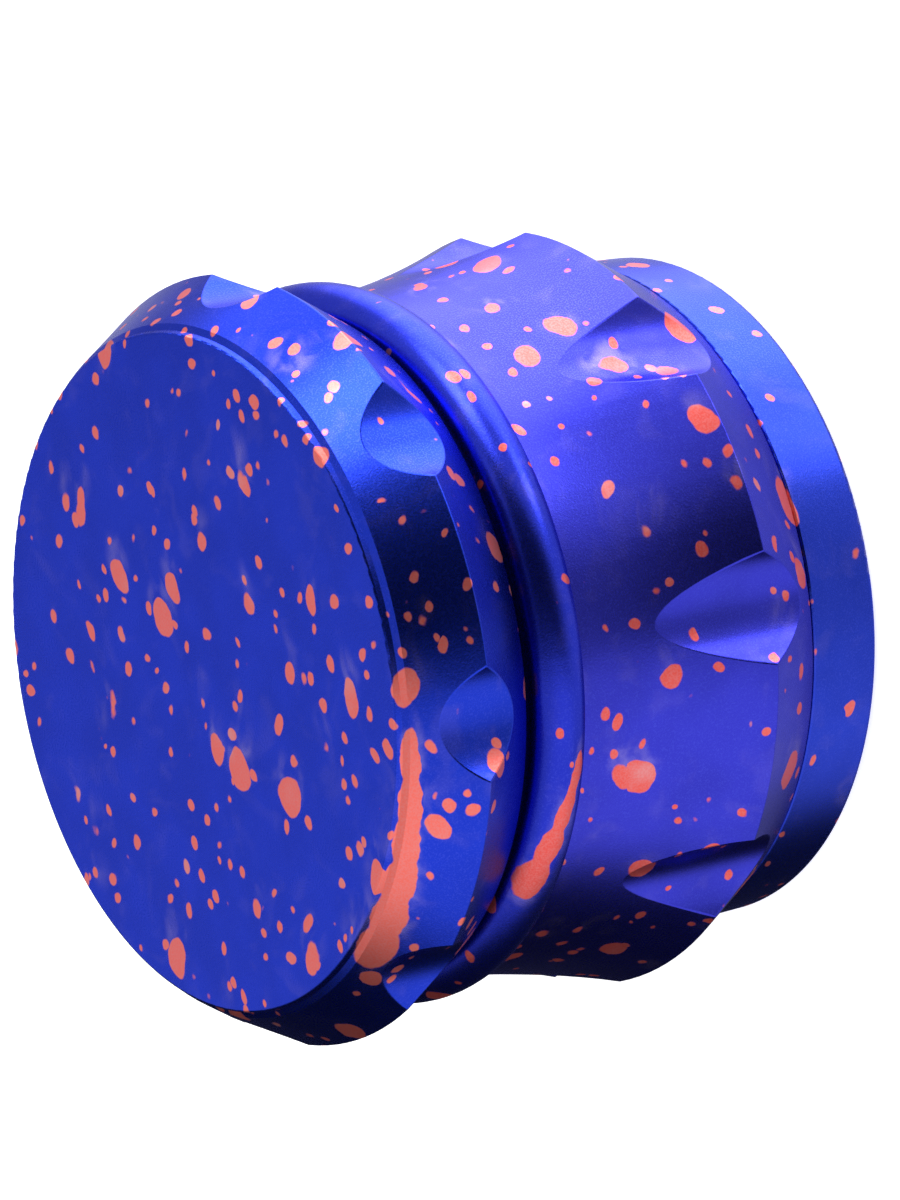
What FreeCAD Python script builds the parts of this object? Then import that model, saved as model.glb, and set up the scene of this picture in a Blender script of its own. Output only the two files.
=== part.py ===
import FreeCAD, Part
import math
import os

# Four-piece round hand grinder for dried herbs, turned and milled from aluminium.
# Millimetres, +Z up along the common axis, origin at the middle of the cup's underside.
# From the bottom up: cup, storage drum, grinding chamber, lid.

Vector = FreeCAD.Vector
AXIS = Vector(0, 0, 1)

# Heights of the stack
OVERALL_HEIGHT = 47.5
CUP_SHOULDER = 6.72
DRUM_BOTTOM = 6.82
DRUM_RIM_HEIGHT = 13.22
DRUM_TOP = 30.51
BEAD_UNDERSIDE = 30.56
BEAD_TOP = 34.7
LID_MOUTH = 35.4
LID_RIM_HEIGHT = 41.25

# Outside radii
CUP_FOOT_RADIUS = 27.7
CUP_TOP_RADIUS = 27.95
DRUM_RIM_RADIUS = 31.5
DRUM_WAIST_RADIUS = 29.13
DRUM_TOP_RADIUS = 28.0
BEAD_ROUNDING = 2.6
BEAD_CENTRE_RADIUS = 27.0
LID_RIM_RADIUS = 31.4
LID_MOUTH_RADIUS = 28.0
LID_SHOULDER_RADIUS = 28.1
LID_FACE_RADIUS = 27.45
LID_STEP_DEPTH = 0.55
LID_STEP_SPREAD = 0.15
LID_SHOULDER_DEPTH = 0.9
EDGE_ROUNDING = 0.2

# Finger scallops round the two rims
SCALLOP_COUNT = 8
DRUM_SCALLOP_RADIUS = 5.6
DRUM_SCALLOP_CENTRE = 34.5
LID_SCALLOP_RADIUS = 6.8
LID_SCALLOP_CENTRE = 36.1
LID_SCALLOP_TURN = 36.1
SCALLOP_EDGE_ROUNDING = 0.2
ON_CUTTER = 0.02

# Grinding room
FLOOR_TOP = 33.9
FLOOR_THICKNESS = 2.6
CEILING = 44.2
BASKET_INNER_RADIUS = 24.4
BASKET_OUTER_RADIUS = 25.7
BASKET_TOP = 43.4
POST_RADIUS = 4.5
POST_GAP = 0.3
LID_POST_END = 39.2
MAGNET_RADIUS = 3.0
MAGNET_THICKNESS = 2.0
MAGNET_FIT = 0.03
MAGNET_RECESS = 0.02

# Teeth: (pitch radius, how many, angle of the first)
TOOTH_LENGTH = 4.2
TOOTH_WIDTH = 3.2
TOOTH_END_GAP = 0.65
TOOTH_TIP_CHAMFER = 0.35
TOOTH_ROOT = 0.5
LID_TEETH = ((8.0, 6, 0.0), (17.0, 12, 15.0))
CHAMBER_TEETH = ((12.4, 8, 22.5), (21.6, 14, 0.0))

# Drop holes through the chamber floor: (pitch radius, how many, angle of the first)
DROP_HOLE_RADIUS = 1.85
DROP_HOLES = ((8.0, 8, 0.0), (17.0, 18, 0.0))
SMALL_DROP_HOLE_RADIUS = 1.5
SMALL_DROP_HOLES = ((12.4, 8, 0.0), (21.6, 14, 180.0 / 14))

# Two-start quick threads: chamber into drum, drum onto cup
THREAD_LEAD = 4.0
THREAD_STARTS = 2
RIDGE_HEIGHT = 0.5
RIDGE_CREST = 0.45
RIDGE_ROOT = 1.03
RIDGE_SUNK = 0.25
THREAD_CLEARANCE = 0.15
THREAD_RELIEF = 0.1
THREAD_RUN_OUT = 0.15
NECK_CORE_RADIUS = 25.8
NECK_INNER_RADIUS = 24.0
NECK_END = 25.3
NECK_THREAD_TOP = 28.85
CUP_NECK_CORE_RADIUS = 25.0
CUP_NECK_TOP = 11.6
CUP_THREAD_BOTTOM = 8.5
CUP_INNER_RADIUS = 23.4
CUP_FLOOR = 2.0
CUP_SCOOP_ROUNDING = 3.0

# Rubber rings in the two threaded joints
SEAL_SECTION = 1.2
SEAL_GAP = 0.05
SEAL_MOUTH_GAP = 0.1
CHAMBER_SEAL_RADIUS = 26.0
CHAMBER_SEAL_HEIGHT = 29.76
CUP_SEAL_RADIUS = 25.15
CUP_SEAL_HEIGHT = 7.5

# Friction ring in the lid's mouth
RING_INNER_RADIUS = 25.85
RING_OUTER_RADIUS = 27.0
RING_BOTTOM = 34.75
RING_TOP = 36.9
RING_FIT = 0.1
LID_BORE_RADIUS = 26.1

# Storage room and its sieve
STORAGE_RADIUS = 25.6
STORAGE_TOP = 24.7
SEAT_RADIUS = 22.9
SEAT_BOTTOM = 11.9
SEAT_TOP = 12.9
FRAME_OUTER_RADIUS = 25.45
FRAME_INNER_RADIUS = 23.3
FRAME_BOTTOM = 12.95
FRAME_TOP = 14.1
SIEVE_RADIUS = 24.6
SIEVE_BOTTOM = 13.45
SIEVE_TOP = 13.6
SIEVE_SLOT_GAP = 0.03
SNAP_GROOVE_RADIUS = 26.2
SNAP_GROOVE_BOTTOM = 14.2
SNAP_GROOVE_TOP = 15.3
SNAP_OUTER_RADIUS = 26.1
SNAP_INNER_RADIUS = 24.6
SNAP_BOTTOM = 14.27
SNAP_THICKNESS = 0.95
SNAP_OPENING = 22.0
SNAP_LUG_TURN = 3.5
SNAP_LUG_RADIUS = 1.5
SNAP_LUG_HOLE = 0.65


def toward(start, end, length):
    """The point that lies length from start on the way to end, as (radius, height)."""
    run = math.hypot(end[0] - start[0], end[1] - start[1])
    share = length / run
    return (start[0] + (end[0] - start[0]) * share, start[1] + (end[1] - start[1]) * share)


def rounded_corner(before, corner, after, radius):
    """Start, middle and end of the arc that rounds a corner of an outline."""
    in_angle = math.atan2(before[1] - corner[1], before[0] - corner[0])
    out_angle = math.atan2(after[1] - corner[1], after[0] - corner[0])
    opening = abs(math.remainder(out_angle - in_angle, 2 * math.pi))
    setback = radius / math.tan(opening / 2)
    start = toward(corner, before, setback)
    end = toward(corner, after, setback)
    halfway = ((start[0] + end[0]) / 2, (start[1] + end[1]) / 2)
    depth = radius / math.sin(opening / 2) - radius
    return start, toward(corner, halfway, depth), end


def flat(point):
    """A point of an outline, radius and height, in the XZ plane."""
    return Vector(point[0], 0, point[1])


def turned(outline):
    """A solid of revolution. Each corner is (radius, height) or (radius, height, rounding);
    a corner ("through", radius, height) makes the stretch across it one arc."""
    places = [corner[1:] if corner[0] == "through" else corner[:2] for corner in outline]
    stretches = []
    for index, corner in enumerate(outline):
        if corner[0] == "through":
            stretches.append(("through", places[index]))
        elif len(corner) == 3:
            after = places[(index + 1) % len(places)]
            start, middle, end = rounded_corner(places[index - 1], places[index], after, corner[2])
            stretches.append(("arc", start, middle, end))
        else:
            stretches.append(("point", corner))
    edges = []
    place = stretches[0][-1]
    middle = None
    for stretch in stretches[1:] + stretches[:1]:
        if stretch[0] == "through":
            middle = stretch[1]
            continue
        arrive = stretch[1]
        if middle:
            edges.append(Part.Arc(flat(place), flat(middle), flat(arrive)).toShape())
            middle = None
        else:
            edges.append(Part.LineSegment(flat(place), flat(arrive)).toShape())
        if stretch[0] == "arc":
            edges.append(Part.Arc(*[flat(point) for point in stretch[1:]]).toShape())
        place = stretch[-1]
    return Part.Face(Part.Wire(edges)).revolve(Vector(), AXIS, 360)


def around(shape, count, first=0.0):
    """Equal copies of a shape, spaced evenly about the axis."""
    copies = []
    for index in range(count):
        copy = shape.copy()
        copy.rotate(Vector(), AXIS, first + 360.0 * index / count)
        copies.append(copy)
    return copies


def tooth(pitch_radius, root, tip):
    """A diamond-section tooth from root height to tip height, its tip chamfered."""
    body_end = tip - math.copysign(TOOTH_TIP_CHAMFER, tip - root)

    def diamond(height, shrink):
        half_length = TOOTH_LENGTH / 2 - shrink
        half_width = TOOTH_WIDTH / 2 - shrink
        corners = [Vector(pitch_radius + half_width, 0, height), Vector(pitch_radius, half_length, height),
                   Vector(pitch_radius - half_width, 0, height), Vector(pitch_radius, -half_length, height)]
        return Part.makePolygon(corners + corners[:1])

    body = Part.makeLoft([diamond(root, 0), diamond(body_end, 0)], True, True)
    point = Part.makeLoft([diamond(body_end, 0), diamond(tip, TOOTH_TIP_CHAMFER)], True, True)
    return body.fuse(point).removeSplitter()


def teeth(rows, root, tip):
    """Every tooth of a set of rows."""
    made = []
    for pitch_radius, count, first in rows:
        made += around(tooth(pitch_radius, root, tip), count, first)
    return made


def holes(rows, radius, bottom, top):
    """Round cutters for rows of drop holes."""
    made = []
    for pitch_radius, count, first in rows:
        cutter = Part.makeCylinder(radius, top - bottom, Vector(pitch_radius, 0, bottom))
        made += around(cutter, count, first)
    return made


def ridges(root_radius, direction, bottom, top, phase):
    """Thread ridges on a wall: direction +1 stands outward, -1 stands inward."""
    rise = top - bottom - RIDGE_ROOT
    spine = Part.makeHelix(THREAD_LEAD, rise, root_radius)
    sunk = root_radius - direction * RIDGE_SUNK
    crest = root_radius + direction * RIDGE_HEIGHT
    sunk_width = RIDGE_ROOT + (RIDGE_ROOT - RIDGE_CREST) * RIDGE_SUNK / RIDGE_HEIGHT
    corners = [Vector(sunk, 0, -sunk_width / 2), Vector(crest, 0, -RIDGE_CREST / 2),
               Vector(crest, 0, RIDGE_CREST / 2), Vector(sunk, 0, sunk_width / 2)]
    section = Part.makePolygon(corners + corners[:1])
    ridge = Part.Wire(spine.Edges).makePipeShell([section], True, True)
    ridge.translate(Vector(0, 0, bottom + RIDGE_ROOT / 2))
    return around(ridge, THREAD_STARTS, phase)


def scallop_cutters(radius, centre, first):
    """Cutters parallel to the axis that hollow a rim between its eight lobes."""
    cutter = Part.makeCylinder(radius, OVERALL_HEIGHT, Vector(centre, 0, 0))
    return around(cutter, SCALLOP_COUNT, first)


def scalloped(body, radius, centre, first, low, high):
    """Cut the scallops and break the sharp edges that they leave."""
    cut = body.cut(scallop_cutters(radius, centre, first))
    sharp = []
    for edge in cut.Edges:
        box = edge.BoundBox
        middle = edge.valueAt((edge.FirstParameter + edge.LastParameter) / 2)
        bearing = math.degrees(math.atan2(middle.y, middle.x)) - first
        off_centre = math.radians(math.remainder(bearing, 360.0 / SCALLOP_COUNT))
        out = math.hypot(middle.x, middle.y)
        from_cutter = math.hypot(out * math.cos(off_centre) - centre, out * math.sin(off_centre))
        if low < box.ZMin and box.ZMax < high and abs(from_cutter - radius) < ON_CUTTER:
            sharp.append(edge)
    return cut.makeFillet(SCALLOP_EDGE_ROUNDING, sharp)


def rubber_ring(radius, height):
    """A round-section sealing ring."""
    return Part.makeTorus(radius, SEAL_SECTION / 2, Vector(0, 0, height))


def magnet(bottom):
    """A disc magnet."""
    return Part.makeCylinder(MAGNET_RADIUS, MAGNET_THICKNESS, Vector(0, 0, bottom))


def lid():
    """Domed lid: stepped face, scalloped rim, skirt over the basket, post and teeth."""
    pocket = LID_POST_END + MAGNET_THICKNESS + 2 * MAGNET_RECESS
    pocket_radius = MAGNET_RADIUS + MAGNET_FIT
    body = turned([
        (0, OVERALL_HEIGHT),
        (LID_FACE_RADIUS, OVERALL_HEIGHT, EDGE_ROUNDING),
        (LID_FACE_RADIUS + LID_STEP_SPREAD, OVERALL_HEIGHT - LID_STEP_DEPTH),
        (LID_SHOULDER_RADIUS, OVERALL_HEIGHT - LID_SHOULDER_DEPTH),
        (LID_RIM_RADIUS, LID_RIM_HEIGHT, EDGE_ROUNDING),
        (LID_MOUTH_RADIUS, LID_MOUTH, EDGE_ROUNDING),
        (RING_OUTER_RADIUS + RING_FIT, LID_MOUTH),
        (RING_OUTER_RADIUS + RING_FIT, RING_TOP + RING_FIT),
        (LID_BORE_RADIUS, RING_TOP + RING_FIT),
        (LID_BORE_RADIUS, CEILING, 0.8),
        (POST_RADIUS, CEILING, 0.5),
        (POST_RADIUS, LID_POST_END, 0.3),
        (pocket_radius, LID_POST_END),
        (pocket_radius, pocket),
        (0, pocket),
    ])
    body = scalloped(body, LID_SCALLOP_RADIUS, LID_SCALLOP_CENTRE, LID_SCALLOP_TURN,
                     LID_MOUTH, OVERALL_HEIGHT - LID_SHOULDER_DEPTH)
    return body.fuse(teeth(LID_TEETH, CEILING + TOOTH_ROOT, FLOOR_TOP + TOOTH_END_GAP))


def grinding_chamber():
    """Basket with teeth and drop holes, bead round the outside, threaded neck below."""
    post_top = LID_POST_END - POST_GAP
    pocket = post_top - MAGNET_THICKNESS - 2 * MAGNET_RECESS
    pocket_radius = MAGNET_RADIUS + MAGNET_FIT
    floor_bottom = FLOOR_TOP - FLOOR_THICKNESS
    bead_middle = BEAD_TOP - BEAD_ROUNDING
    under_reach = math.sqrt(BEAD_ROUNDING ** 2 - (bead_middle - BEAD_UNDERSIDE) ** 2)
    groove = CHAMBER_SEAL_RADIUS - SEAL_SECTION / 2 - SEAL_GAP
    body = turned([
        (0, pocket),
        (pocket_radius, pocket),
        (pocket_radius, post_top),
        (POST_RADIUS, post_top, 0.3),
        (POST_RADIUS, FLOOR_TOP, 0.5),
        (BASKET_INNER_RADIUS, FLOOR_TOP, 0.5),
        (BASKET_INNER_RADIUS, BASKET_TOP, 0.3),
        (BASKET_OUTER_RADIUS, BASKET_TOP, 0.4),
        (BASKET_OUTER_RADIUS, BEAD_TOP),
        (BEAD_CENTRE_RADIUS, BEAD_TOP),
        ("through", BEAD_CENTRE_RADIUS + BEAD_ROUNDING, bead_middle),
        (BEAD_CENTRE_RADIUS + under_reach, BEAD_UNDERSIDE),
        (groove, BEAD_UNDERSIDE),
        (groove, NECK_THREAD_TOP + THREAD_RELIEF),
        (NECK_CORE_RADIUS, NECK_THREAD_TOP + THREAD_RELIEF),
        (NECK_CORE_RADIUS, NECK_END, 0.4),
        (NECK_INNER_RADIUS, NECK_END, 0.3),
        (NECK_INNER_RADIUS, floor_bottom, 0.8),
        (0, floor_bottom),
    ])
    body = body.fuse(teeth(CHAMBER_TEETH, FLOOR_TOP - TOOTH_ROOT, CEILING - TOOTH_END_GAP))
    cutters = holes(DROP_HOLES, DROP_HOLE_RADIUS, floor_bottom - 1, FLOOR_TOP + 1)
    cutters += holes(SMALL_DROP_HOLES, SMALL_DROP_HOLE_RADIUS, floor_bottom - 1, FLOOR_TOP + 1)
    body = body.cut(cutters)
    return body.fuse(ridges(NECK_CORE_RADIUS, 1, NECK_END + THREAD_RUN_OUT, NECK_THREAD_TOP, 0))


def storage_drum():
    """Flared body with scalloped rim, threads at both ends and the sieve's seat."""
    chamber_bore = NECK_CORE_RADIUS + RIDGE_HEIGHT + THREAD_CLEARANCE
    cup_bore = CUP_NECK_CORE_RADIUS + RIDGE_HEIGHT + THREAD_CLEARANCE
    chamber_mouth = CHAMBER_SEAL_RADIUS + SEAL_SECTION / 2 + SEAL_MOUTH_GAP
    cup_mouth = CUP_SEAL_RADIUS + SEAL_SECTION / 2 + SEAL_MOUTH_GAP
    body = turned([
        (chamber_mouth, DRUM_TOP),
        (DRUM_TOP_RADIUS, DRUM_TOP, EDGE_ROUNDING),
        ("through", DRUM_WAIST_RADIUS, (DRUM_TOP + DRUM_RIM_HEIGHT) / 2),
        (DRUM_RIM_RADIUS, DRUM_RIM_HEIGHT, EDGE_ROUNDING),
        (CUP_TOP_RADIUS, DRUM_BOTTOM, EDGE_ROUNDING),
        (cup_mouth, DRUM_BOTTOM),
        (cup_mouth, CUP_THREAD_BOTTOM - THREAD_RELIEF),
        (cup_bore, CUP_THREAD_BOTTOM - THREAD_RELIEF),
        (cup_bore, SEAT_BOTTOM),
        (SEAT_RADIUS, SEAT_BOTTOM),
        (SEAT_RADIUS, SEAT_TOP),
        (STORAGE_RADIUS, SEAT_TOP),
        (STORAGE_RADIUS, SNAP_GROOVE_BOTTOM),
        (SNAP_GROOVE_RADIUS, SNAP_GROOVE_BOTTOM),
        (SNAP_GROOVE_RADIUS, SNAP_GROOVE_TOP),
        (STORAGE_RADIUS, SNAP_GROOVE_TOP),
        (STORAGE_RADIUS, STORAGE_TOP, 0.4),
        (chamber_bore, STORAGE_TOP),
        (chamber_bore, NECK_THREAD_TOP + THREAD_RELIEF),
        (chamber_mouth, NECK_THREAD_TOP + THREAD_RELIEF),
    ])
    body = scalloped(body, DRUM_SCALLOP_RADIUS, DRUM_SCALLOP_CENTRE, 0, DRUM_BOTTOM, DRUM_TOP)
    half_turn_of_start = 180.0 / THREAD_STARTS
    body = body.fuse(ridges(chamber_bore, -1, NECK_END + THREAD_RUN_OUT, NECK_THREAD_TOP, half_turn_of_start))
    return body.fuse(ridges(cup_bore, -1, CUP_THREAD_BOTTOM, CUP_NECK_TOP - THREAD_RELIEF, half_turn_of_start))


def kief_cup():
    """Shallow cup with a scooped floor, a seal groove and a threaded neck."""
    groove = CUP_SEAL_RADIUS - SEAL_SECTION / 2 - SEAL_GAP
    body = turned([
        (0, 0),
        (CUP_FOOT_RADIUS, 0, 0.5),
        (CUP_TOP_RADIUS, CUP_SHOULDER, EDGE_ROUNDING),
        (groove, CUP_SHOULDER),
        (groove, CUP_THREAD_BOTTOM - THREAD_RELIEF),
        (CUP_NECK_CORE_RADIUS, CUP_THREAD_BOTTOM - THREAD_RELIEF),
        (CUP_NECK_CORE_RADIUS, CUP_NECK_TOP, 0.3),
        (CUP_INNER_RADIUS, CUP_NECK_TOP, 0.3),
        (CUP_INNER_RADIUS, CUP_FLOOR, CUP_SCOOP_ROUNDING),
        (0, CUP_FLOOR),
    ])
    return body.fuse(ridges(CUP_NECK_CORE_RADIUS, 1, CUP_THREAD_BOTTOM, CUP_NECK_TOP - THREAD_RELIEF, 0))


def friction_ring():
    """Polymer ring that the lid turns on."""
    return turned([
        (RING_INNER_RADIUS, RING_BOTTOM, 0.15),
        (RING_OUTER_RADIUS, RING_BOTTOM, 0.15),
        (RING_OUTER_RADIUS, RING_TOP, 0.15),
        (RING_INNER_RADIUS, RING_TOP, 0.15),
    ])


def sieve_frame():
    """Steel ring crimped over the edge of the sieve."""
    slot_radius = SIEVE_RADIUS + SIEVE_SLOT_GAP
    return turned([
        (FRAME_INNER_RADIUS, FRAME_BOTTOM, 0.15),
        (FRAME_OUTER_RADIUS, FRAME_BOTTOM, 0.3),
        (FRAME_OUTER_RADIUS, FRAME_TOP, 0.3),
        (FRAME_INNER_RADIUS, FRAME_TOP, 0.15),
        (FRAME_INNER_RADIUS, SIEVE_TOP + SIEVE_SLOT_GAP),
        (slot_radius, SIEVE_TOP + SIEVE_SLOT_GAP),
        (slot_radius, SIEVE_BOTTOM - SIEVE_SLOT_GAP),
        (FRAME_INNER_RADIUS, SIEVE_BOTTOM - SIEVE_SLOT_GAP),
    ])


def sieve_mesh():
    """Woven steel sieve, as the thin disc that it fills."""
    return Part.makeCylinder(SIEVE_RADIUS, SIEVE_TOP - SIEVE_BOTTOM, Vector(0, 0, SIEVE_BOTTOM))


def retaining_ring():
    """Internal spring ring with two eyed lugs, which holds the sieve down."""
    base = Vector(0, 0, SNAP_BOTTOM)
    ring = Part.makeCylinder(SNAP_OUTER_RADIUS, SNAP_THICKNESS, base)
    ring = ring.cut(Part.makeCylinder(SNAP_INNER_RADIUS, SNAP_THICKNESS, base))
    wedge = Part.makeCylinder(SNAP_OUTER_RADIUS + 1, SNAP_THICKNESS, base, AXIS, SNAP_OPENING)
    wedge.rotate(Vector(), AXIS, -SNAP_OPENING / 2)
    ring = ring.cut(wedge)
    lug_reach = SNAP_INNER_RADIUS - SNAP_LUG_RADIUS / 3
    for side in (-1, 1):
        angle = math.radians(side * (SNAP_OPENING / 2 + SNAP_LUG_TURN))
        place = Vector(lug_reach * math.cos(angle), lug_reach * math.sin(angle), SNAP_BOTTOM)
        ring = ring.fuse(Part.makeCylinder(SNAP_LUG_RADIUS, SNAP_THICKNESS, place))
        ring = ring.cut(Part.makeCylinder(SNAP_LUG_HOLE, SNAP_THICKNESS, place))
    return ring


def main():
    os.makedirs("parts", exist_ok=True)
    pieces = {
        "kief_cup": kief_cup(),
        "cup_seal": rubber_ring(CUP_SEAL_RADIUS, CUP_SEAL_HEIGHT),
        "storage_drum": storage_drum(),
        "sieve_frame": sieve_frame(),
        "sieve_mesh": sieve_mesh(),
        "retaining_ring": retaining_ring(),
        "chamber_seal": rubber_ring(CHAMBER_SEAL_RADIUS, CHAMBER_SEAL_HEIGHT),
        "grinding_chamber": grinding_chamber(),
        "chamber_magnet": magnet(LID_POST_END - POST_GAP - MAGNET_RECESS - MAGNET_THICKNESS),
        "friction_ring": friction_ring(),
        "lid": lid(),
        "lid_magnet": magnet(LID_POST_END + MAGNET_RECESS),
    }
    for name, shape in pieces.items():
        shape.exportStep(os.path.join("parts", name + ".step"))
        box = shape.optimalBoundingBox()
        print(name, "solids", len(shape.Solids), "valid", shape.isValid(),
              "volume %.1f" % shape.Volume, "Z %.2f to %.2f" % (box.ZMin, box.ZMax))


main()
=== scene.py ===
# %% [markdown]
# # A four-piece hand grinder, blue with coral splashes
#
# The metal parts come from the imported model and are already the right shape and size. This lesson
# gives them their finish: bead-blasted aluminium, dyed blue and splashed with coral. It opens the
# frame first, because every position below is measured from it.

# %% Open the frame
import math

import bpy
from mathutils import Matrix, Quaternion, Vector

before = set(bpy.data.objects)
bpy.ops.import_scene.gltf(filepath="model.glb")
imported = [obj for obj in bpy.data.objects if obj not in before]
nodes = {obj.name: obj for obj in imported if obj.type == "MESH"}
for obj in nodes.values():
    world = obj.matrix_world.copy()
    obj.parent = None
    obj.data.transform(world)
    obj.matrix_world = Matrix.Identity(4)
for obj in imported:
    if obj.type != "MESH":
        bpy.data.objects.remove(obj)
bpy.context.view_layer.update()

MM = 0.001
print("nodes:", ", ".join(sorted(nodes)))

# %% [markdown]
# ## The camera
#
# The grinder stands upright in the model, but it looks best lying on its side with the lid to the
# left. Nothing in the model may turn, so the camera rolls instead. It looks down at the grinder
# from the front with a long lens, which keeps the rims' ellipses nearly parallel.

# %% Camera
AXIS_UP = Vector((0, 0, 1))
SCALLOP_SWING = math.radians(5.7)
VIEW_ELEVATION = math.radians(34.56)
VIEW_ROLL = math.radians(-100.52)
VIEW_DISTANCE = 550.8 * MM
AIM_HEIGHT = 22.0 * MM
AIM_ASIDE = 2.1 * MM
LENS = 201.45

swing = Quaternion(AXIS_UP, SCALLOP_SWING)
aside = swing @ Vector((1, 0, 0))
toward_camera = swing @ Vector((0, -math.cos(VIEW_ELEVATION), math.sin(VIEW_ELEVATION)))

camera_data = bpy.data.cameras.new("camera")
camera_data.lens = LENS
camera_data.sensor_width = 36
camera_data.clip_start = 0.05
camera_data.clip_end = 20
camera = bpy.data.objects.new("camera", camera_data)
bpy.context.scene.collection.objects.link(camera)
camera.rotation_mode = "QUATERNION"
camera.location = AIM_HEIGHT * AXIS_UP + AIM_ASIDE * aside + VIEW_DISTANCE * toward_camera
camera.rotation_quaternion = ((-toward_camera).to_track_quat("-Z", "Y")
                              @ Quaternion((0, 0, 1), VIEW_ROLL))
bpy.context.scene.camera = camera
print("camera, mm:", [round(x / MM) for x in camera.location])

# %% [markdown]
# ## Writing a finish as sums
#
# A finish is a small network of nodes. It is easier to read as arithmetic, so a Tap wraps one
# socket and each sum on it adds the node that does the sum. Plain values use Math nodes. Vectors
# use Vector Math, which keeps their three numbers apart. The reflected forms let 1 - mask work.

# %% Taps and networks
class Tap:
    """One output of a network, ready for sums."""

    def __init__(self, network, socket):
        self.network = network
        self.socket = socket

    def __add__(self, other):
        return self.network.total("ADD", self, other)

    def __radd__(self, other):
        return self.network.total("ADD", other, self)

    def __sub__(self, other):
        return self.network.total("SUBTRACT", self, other)

    def __rsub__(self, other):
        return self.network.total("SUBTRACT", other, self)

    def __mul__(self, other):
        return self.network.total("MULTIPLY", self, other)

    def __rmul__(self, other):
        return self.network.total("MULTIPLY", other, self)


class Network:
    """The nodes of one material, or of the world."""

    def __init__(self, owner):
        owner.use_nodes = True
        self.tree = owner.node_tree
        self.tree.nodes.clear()

    def node(self, kind, settings=None, inputs=None):
        """Any node: its settings first, then the values or taps of its inputs."""
        made = self.tree.nodes.new(kind)
        for name, value in (settings or {}).items():
            setattr(made, name, value)
        shown = {socket.name: socket for socket in reversed(made.inputs) if socket.enabled}
        for key, value in (inputs or {}).items():
            socket = made.inputs[key] if isinstance(key, int) else shown[key]
            if isinstance(value, Tap):
                self.tree.links.new(value.socket, socket)
            else:
                socket.default_value = value
        return {socket.name: Tap(self, socket) for socket in made.outputs if socket.enabled}

    def total(self, operation, left, right):
        """left and right combined, as values or as vectors."""
        pair = [left, right]
        vectors = [isinstance(side, tuple) or (isinstance(side, Tap) and side.socket.type != "VALUE")
                   for side in pair]
        if any(vectors):
            pair = [(side,) * 3 if isinstance(side, (int, float)) else side for side in pair]
            answer = self.node("ShaderNodeVectorMath", {"operation": operation}, dict(enumerate(pair)))
            return answer["Vector"]
        return self.node("ShaderNodeMath", {"operation": operation}, dict(enumerate(pair)))["Value"]

    def function(self, operation, *values):
        """A Math node with one of its other functions."""
        return self.node("ShaderNodeMath", {"operation": operation}, dict(enumerate(values)))["Value"]

    def rise(self, value, low, high):
        """0 below low, 1 above high, and a smooth rise between them."""
        return self.node("ShaderNodeMapRange", {"interpolation_type": "SMOOTHSTEP"},
                         {"Value": value, "From Min": low, "From Max": high})["Result"]

    def between(self, factor, first, second):
        """From the first colour to the second as factor goes from 0 to 1."""
        return self.node("ShaderNodeMix", {"data_type": "RGBA"},
                         {"Factor": factor, "A": first, "B": second})["Result"]

    def noise(self, place, size, detail=2.0, roughness=0.5):
        """Soft noise with lumps about size millimetres across."""
        return self.node("ShaderNodeTexNoise", {},
                         {"Vector": place, "Scale": 1 / size, "Detail": detail, "Roughness": roughness})

    def apart(self, vector):
        """The three parts of a vector."""
        parts = self.node("ShaderNodeSeparateXYZ", {}, {"Vector": vector})
        return parts["X"], parts["Y"], parts["Z"]


def new_finish(name):
    """A material's network and its place in millimetres on the piece."""
    material = bpy.data.materials.new(name)
    network = Network(material)
    place = network.node("ShaderNodeTexCoord")["Object"] * (1 / MM)
    return material, network, place

# %% [markdown]
# ## Splashes on the metal
#
# The maker flicked a resist onto the blanks before the blue dye and coloured those drops coral
# afterwards. The drops fall anywhere, so a cell texture scatters them: a ball sits in each cell,
# and where the metal's skin cuts a ball, a round drop shows. Here and there the resist ran along
# an edge before it set. A run is a row of flattened balls that overlap, worked out from where it
# starts and ends, and a smooth minimum melts them into one band.

# %% Scattered drops and runs
def scattered_drops(network, place, spacing, biggest, share):
    """Drops up to biggest in radius, one chance in each cell of spacing millimetres."""
    cell = network.node("ShaderNodeTexVoronoi", {}, {"Vector": place, "Scale": 1 / spacing})
    luck, size, _ = network.apart(cell["Color"])
    falls = network.function("LESS_THAN", luck, share)
    radius = biggest * (0.45 + 0.55 * size) * falls
    reach = cell["Distance"] * spacing
    return radius - reach


def splash(network, place, middle, turn, half_sizes):
    """Distance from the middle of one splash, where 1 is its edge."""
    local = network.node("ShaderNodeMapping", {"vector_type": "TEXTURE"},
                         {"Vector": place, "Location": middle, "Rotation": turn, "Scale": half_sizes})
    return network.node("ShaderNodeVectorMath", {"operation": "LENGTH"}, {0: local["Vector"]})["Value"]


def side_splash(network, place, angle, radius, height, long, wide, lean):
    """A splash on a round wall. The lean turns its length from level towards upright."""
    angle = math.radians(angle)
    middle = (radius * math.cos(angle), radius * math.sin(angle), height)
    return splash(network, place, middle, (math.radians(lean), 0, angle), (SPLASH_DEPTH, long, wide))


def run_of_resist(radius, height, first, last, count, start_width, end_width, fall):
    """Overlapping marks along a wall, from one angle to another, falling as they go."""
    stretch = radius * math.radians(last - first)
    lean = -math.degrees(math.atan(fall / stretch))
    long = 0.75 * abs(stretch) / (count - 1)
    marks = []
    for step in range(count):
        along = step / (count - 1)
        angle = first + (last - first) * along
        wide = start_width + (end_width - start_width) * along
        marks.append((angle, radius, height - fall * along, long, wide, lean))
    return marks


SPLASH_DEPTH = 2.4
print("a splash reaches", SPLASH_DEPTH, "mm into the metal")

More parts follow.
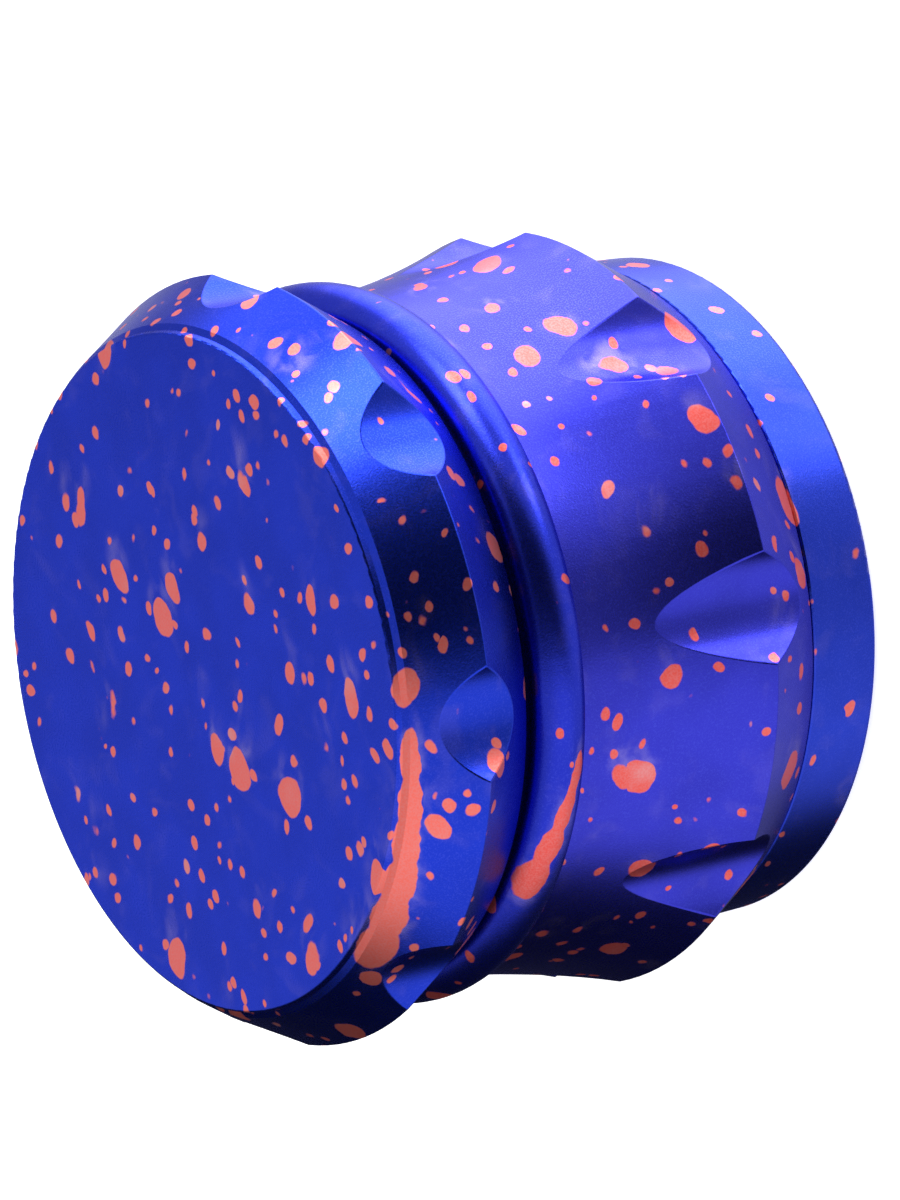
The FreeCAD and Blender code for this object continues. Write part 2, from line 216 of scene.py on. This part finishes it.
# %% [markdown]
# ## Dyed and blasted aluminium
#
# Bead blasting leaves the aluminium evenly dull, with a fine grain that sparkles a little. The
# oxide skin takes the dye, so the metal itself looks blue and keeps a metal's deep reflections.
# That is why blue and coral are both metallic here, and differ in colour and a little in how dull
# they are. A thin clear coat stands for the sealed oxide, and the edge tint keeps a slanting look
# from washing the blue out. Beside the bigger drops the resist left a faint pale haze, and the
# coral goes pale in patches and in fine flecks.

# %% The splashed metal
LID_DYES = ((0.011, 0.033, 0.475, 1), (0.76, 0.140, 0.112, 1))
CHAMBER_DYES = ((0.018, 0.030, 0.470, 1), (0.69, 0.085, 0.070, 1))
DRUM_DYES = ((0.032, 0.034, 0.460, 1), (0.69, 0.085, 0.070, 1))
CUP_DYES = ((0.018, 0.041, 0.460, 1), (0.70, 0.115, 0.100, 1))
SPARKLE_BLUE = (0.080, 0.110, 0.720, 1)
EDGE_TINT = (0.60, 0.60, 0.85, 1)
CORAL_PALE = (0.620, 0.330, 0.360, 1)
HAZE = (0.330, 0.260, 0.520, 1)
GRAIN_SIZE = 0.16
GRAIN_DEPTH = 0.014
RIPPLE_SIZE = 1.5
DRIFT_SIZE = 9.0
CLOUD_SIZE = 6.0
SMALL_SPACING = 2.15
SMALL_BIGGEST = 0.60
LARGE_SPACING = 5.0
LARGE_BIGGEST = 1.45
MIST_BIGGEST = 2.4
LARGE_SHIFT = (40.0, 15.0, 7.0)
MIST_SHIFT = (38.9, 15.2, 7.0)
MIDDLE = (0.5, 0.5, 0.5)
RUN_MELT = 0.12


def splashed_metal(name, dye, coral_dye, drop_share, run=()):
    """Blue metal with scattered drops, and perhaps a run of resist along its wall."""
    material, network, place = new_finish(name)
    ripple = network.noise(place, RIPPLE_SIZE)["Color"] - MIDDLE
    drift = network.noise(place, DRIFT_SIZE)["Color"] - MIDDLE
    strewn = place + ripple * 0.5 + drift * 4.0
    stretched = strewn * (0.7, 1.0, 0.9)
    small = scattered_drops(network, strewn * (0.85, 1.0, 1.0), SMALL_SPACING, SMALL_BIGGEST, drop_share)
    large = scattered_drops(network, stretched + LARGE_SHIFT, LARGE_SPACING, LARGE_BIGGEST, drop_share)
    drops = network.function("MAXIMUM", small, large)
    coral = network.rise(drops, -0.05, 0.06)

    mist = scattered_drops(network, stretched + MIST_SHIFT, LARGE_SPACING, MIST_BIGGEST, drop_share)
    haze = network.rise(mist, -0.2, 1.6)

    near = place + ripple * 0.7
    edges = [side_splash(network, near, *mark) for mark in run]
    if edges:
        nearest = edges[0]
        for edge in edges[1:]:
            nearest = network.node("ShaderNodeMath", {"operation": "SMOOTH_MIN"},
                                   {0: nearest, 1: edge, 2: RUN_MELT})["Value"]
        coral = network.function("MAXIMUM", coral, 1 - network.rise(nearest, 0.94, 1.04))
        haze = network.function("MAXIMUM", haze, 0.9 * (1 - network.rise(nearest, 0.9, 1.9)))

    wisps = network.noise(place * (0.4, 1.0, 1.0) + drift * 6.0, 1.6, 3.0)["Fac"]
    cloud = network.noise(place, CLOUD_SIZE)["Fac"]
    smoke = network.noise(place + drift * 12.0, 3.5, 3.0)["Fac"]
    haze = haze * network.rise(wisps, 0.38, 0.72) * 0.34 + 0.04 * network.rise(smoke, 0.52, 0.72)
    pale = network.rise(cloud, 0.56, 0.76)

    grain = network.noise(place, GRAIN_SIZE, 2.0, 0.6)["Fac"]
    deeper = tuple(0.86 * part for part in dye[:3]) + (1,)
    blue = network.between(network.rise(cloud, 0.3, 0.7), deeper, dye)
    blue = network.between(network.rise(grain, 0.45, 0.8) * 0.22, blue, SPARKLE_BLUE)
    blue = network.between(haze, blue, HAZE)
    fleck = network.rise(grain, 0.36, 0.66)
    red = network.between(0.5 * pale + 0.22 * fleck, coral_dye, CORAL_PALE)
    colour = network.between(coral, blue, red)

    bump = network.node("ShaderNodeBump", {}, {"Strength": 0.6, "Distance": GRAIN_DEPTH * MM,
                                               "Height": grain})
    skin = network.node("ShaderNodeBsdfPrincipled", {}, {
        "Base Color": colour,
        "Metallic": 1.0 - 0.10 * coral,
        "Specular Tint": EDGE_TINT,
        "Roughness": 0.225 + 0.09 * grain + 0.10 * coral,
        "Coat Weight": 0.05 + 0.2 * haze,
        "Coat Roughness": 0.3,
        "Normal": bump["Normal"]})
    network.node("ShaderNodeOutputMaterial", {}, {"Surface": skin["BSDF"]})
    return material


def wear(node_name, material):
    """Give a piece its finish, and leave its mesh alone."""
    for slot in nodes[node_name].material_slots:
        slot.link = "OBJECT"
        slot.material = material
    print(node_name, "wears", material.name)


# %% [markdown]
# ## The lid
#
# The lid is the most splashed piece. A run of resist followed the step round its face and widens
# towards its end, so its marks are spread evenly between two angles.

# %% Lid
STEP_RUN = run_of_resist(28.1, 46.5, 256, 220, 6, 0.6, 1.5, 0.7)
print("run along the step:", len(STEP_RUN), "marks")
wear("lid", splashed_metal("lid_splashed_blue", *LID_DYES, 0.95, STEP_RUN))

# %% [markdown]
# ## The grinding chamber
#
# Only its bead shows between the lid and the drum. One run of resist slid over the bead's crest
# and thinned out as it went. The rest of the drops are few.

# %% Grinding chamber
BEAD_RUN = run_of_resist(29.4, 33.4, 231, 249, 4, 1.2, 0.5, 1.9)
print("run over the bead:", len(BEAD_RUN), "marks")
wear("grinding_chamber", splashed_metal("chamber_splashed_blue", *CHAMBER_DYES, 0.36, BEAD_RUN))

# %% [markdown]
# ## The storage drum
#
# The drum has scattered drops only. More of its cells hold one than on the chamber or the cup.

# %% Storage drum
wear("storage_drum", splashed_metal("drum_splashed_blue", *DRUM_DYES, 0.70))

# %% [markdown]
# ## The cup
#
# The cup is the plainest piece, with a few loose drops.

# %% Cup
wear("kief_cup", splashed_metal("cup_splashed_blue", *CUP_DYES, 0.40))

# %% [markdown]
# ## The small pieces
#
# The rings, magnets and sieve are bought parts in their own materials: black rubber, black
# polymer, nickel plate, and stainless steel. The friction ring's black is partly painted shade, dark
# like the shaded groove between the lid and the bead. Their finishes use the same sums as the metal,
# with finer or coarser grain.

# %% Plain finishes
def plain_finish(name, colour, shade, metallic, roughness, mottle_size, bump_height):
    """A one-colour finish whose colour, roughness and surface vary a little with its mottle."""
    material, network, place = new_finish(name)
    mottle = network.noise(place, mottle_size, 3.0, 0.6)["Fac"]
    bump = network.node("ShaderNodeBump", {}, {"Strength": 0.5, "Distance": bump_height * MM,
                                               "Height": mottle})
    skin = network.node("ShaderNodeBsdfPrincipled", {}, {
        "Base Color": network.between(network.rise(mottle, 0.3, 0.7), shade, colour),
        "Metallic": metallic,
        "Roughness": roughness - 0.06 + 0.12 * mottle,
        "Normal": bump["Normal"]})
    network.node("ShaderNodeOutputMaterial", {}, {"Surface": skin["BSDF"]})
    return material


rubber = plain_finish("black_rubber", (0.018, 0.018, 0.019, 1), (0.010, 0.010, 0.011, 1),
                      metallic=0.0, roughness=0.62, mottle_size=0.12, bump_height=0.01)
# Black polymer, made this dark partly as painted shade for the groove that the friction ring sits in.
polymer_and_groove_shade = plain_finish("black_polymer_and_groove_shade", (0.026, 0.026, 0.029, 1), (0.015, 0.015, 0.017, 1),
                       metallic=0.0, roughness=0.50, mottle_size=0.5, bump_height=0.01)
nickel = plain_finish("nickel_plate", (0.66, 0.63, 0.58, 1), (0.55, 0.53, 0.50, 1),
                      metallic=1.0, roughness=0.2, mottle_size=0.8, bump_height=0.004)
spring_steel = plain_finish("spring_steel", (0.42, 0.42, 0.43, 1), (0.30, 0.30, 0.32, 1),
                            metallic=1.0, roughness=0.34, mottle_size=0.1, bump_height=0.008)
for ring in ("cup_seal", "chamber_seal"):
    wear(ring, rubber)
# Painted shade, partly: the friction ring is black to stand for the shaded groove between the lid and
# the bead.
wear("friction_ring", polymer_and_groove_shade)
for magnet in ("lid_magnet", "chamber_magnet"):
    wear(magnet, nickel)
for steel in ("sieve_frame", "retaining_ring"):
    wear(steel, spring_steel)

# %% [markdown]
# ## The sieve
#
# The sieve is steel cloth, woven plain from wire a twentieth of a millimetre thick. At that size
# the wires are a pattern on the disc: two waves at right angles give the warp and the weft, a
# checker says which of them is on top, and the openings between them are painted dark, as painted shade
# for the space behind the cloth.

# %% Sieve cloth
WIRE_PITCH = 0.25


def sieve_cloth(name):
    """Woven steel wire as a pattern of waves."""
    material, network, place = new_finish(name)
    x, y, _ = network.apart(place)
    turn = math.pi / WIRE_PITCH
    warp = network.function("ABSOLUTE", network.function("SINE", x * turn))
    weft = network.function("ABSOLUTE", network.function("SINE", y * turn))
    over = network.node("ShaderNodeTexChecker", {}, {"Vector": place * (1.0, 1.0, 0.0),
                                                    "Scale": 1 / WIRE_PITCH})["Fac"]
    height = network.function("MAXIMUM", warp * (0.7 + 0.3 * over), weft * (1.0 - 0.3 * over))
    wire = network.rise(height, 0.55, 0.75)
    bump = network.node("ShaderNodeBump", {}, {"Strength": 0.8, "Distance": 0.04 * MM, "Height": height})
    skin = network.node("ShaderNodeBsdfPrincipled", {}, {
        # The openings get a near-black colour: painted shade for the shaded space seen through the
        # cloth.
        "Base Color": network.between(wire, (0.05, 0.05, 0.06, 1), (0.52, 0.51, 0.49, 1)),
        "Metallic": 0.2 + 0.8 * wire,
        "Roughness": 0.7 - 0.4 * wire,
        "Normal": bump["Normal"]})
    network.node("ShaderNodeOutputMaterial", {}, {"Surface": skin["BSDF"]})
    return material


wear("sieve_mesh", sieve_cloth("woven_steel"))

# %% [markdown]
# ## Light tent and floor
#
# Dull metal looks like whatever surrounds it, so the light matters as much as the dye. Small
# shiny things are lit in a white tent. The tent glows from all sides, three lamps stand at its +X
# side, the gap that the camera looks through is dark, and so is the open corner low on the far
# side from the lamps. The world draws them as soft patches by direction.

# %% Tent
TENT_LIGHT = 1.0
FILL_LIGHT = 0.4
HIGH_LAMP = 8.5
LOW_LAMP = 5.0
UNDER_LAMP = 4.0
DARKEST = 0.98

world = bpy.data.worlds.new("light_tent")
bpy.context.scene.world = world
tent = Network(world)
outward = tent.node("ShaderNodeTexCoord")["Generated"]


def toward_direction(direction):
    """How squarely each direction points along a direction given in the scallops' own frame."""
    unit = (swing @ Vector(direction)).normalized()
    return tent.node("ShaderNodeVectorMath", {"operation": "DOT_PRODUCT"},
                     {0: outward, 1: tuple(unit)})["Value"]


rightward = toward_direction((1, 0, 0))
forward = toward_direction((0, -1, 0))
upward = toward_direction((0, 0, 1))
aside_of_gap = tent.function("ABSOLUTE", rightward - 0.30 * upward - 0.10) - 0.24 * upward
in_front = tent.rise(forward, 0.20, 0.50) * tent.rise(upward, -0.9, -0.1)
gap = (1 - tent.rise(aside_of_gap, 0.29, 0.42)) * in_front
corner = tent.rise(toward_direction((-0.68, 0.70, -0.20)), 0.55, 0.80)
high_lamp = tent.rise(toward_direction((0.90, -0.28, 0.35)), 0.94, 0.99)
low_lamp = tent.rise(toward_direction((0.88, 0.10, -0.46)), 0.72, 0.99)
under_lamp = tent.rise(toward_direction((0.55, -0.60, -0.58)), 0.97, 0.992)
fill = tent.rise(toward_direction((-0.85, -0.45, 0.0)), 0.60, 0.90)
back_wall = 1 - tent.rise(forward, -0.8, -0.3)
back_light = back_wall * (0.25 - 0.5 * tent.rise(rightward, -0.15, 0.15))
tent_wall_light = TENT_LIGHT + FILL_LIGHT * fill + back_light
lamps = HIGH_LAMP * high_lamp + LOW_LAMP * low_lamp + UNDER_LAMP * under_lamp
glow = tent_wall_light * (1 - DARKEST * gap) * (1 - DARKEST * corner) + lamps
seen = tent.node("ShaderNodeLightPath")["Is Camera Ray"]
tent_wall = tent.node("ShaderNodeBackground", {}, {"Color": (1, 1, 1, 1), "Strength": glow})
backdrop = tent.node("ShaderNodeBackground", {}, {"Color": (1, 1, 1, 1), "Strength": 1.0})
both = tent.node("ShaderNodeMixShader", {}, {0: seen, 1: tent_wall["Background"],
                                             2: backdrop["Background"]})
tent.node("ShaderNodeOutputWorld", {}, {"Surface": both["Shader"]})
bpy.context.scene.view_settings.view_transform = "Standard"

# %% [markdown]
# The floor is plain and pale. It only shows to the camera and doesn't stop the tent's light, as
# if the grinder stood on a glowing white sheet.

# %% Floor
FLOOR_HALF = 3.0
FLOOR_DROP = 0.0002
FLOOR_GLOW = 0.75
floor_mesh = bpy.data.meshes.new("floor")
floor_mesh.from_pydata([(-FLOOR_HALF, -FLOOR_HALF, 0), (FLOOR_HALF, -FLOOR_HALF, 0),
                        (FLOOR_HALF, FLOOR_HALF, 0), (-FLOOR_HALF, FLOOR_HALF, 0)], [], [(0, 1, 2, 3)])
floor = bpy.data.objects.new("floor", floor_mesh)
bpy.context.scene.collection.objects.link(floor)
paper, sheet, sheet_place = new_finish("white_sheet")
fibre = sheet.noise(sheet_place, 4.0)["Fac"]
sheet_skin = sheet.node("ShaderNodeBsdfPrincipled", {}, {
    "Base Color": sheet.between(fibre, (0.80, 0.80, 0.80, 1), (0.82, 0.82, 0.82, 1)),
    "Roughness": 0.9,
    "Emission Color": (1, 1, 1, 1),
    "Emission Strength": FLOOR_GLOW})
sheet.node("ShaderNodeOutputMaterial", {}, {"Surface": sheet_skin["BSDF"]})
floor_mesh.materials.append(paper)
floor.visible_diffuse = False
floor.visible_glossy = False
floor.visible_shadow = False
floor.location.z = -FLOOR_DROP
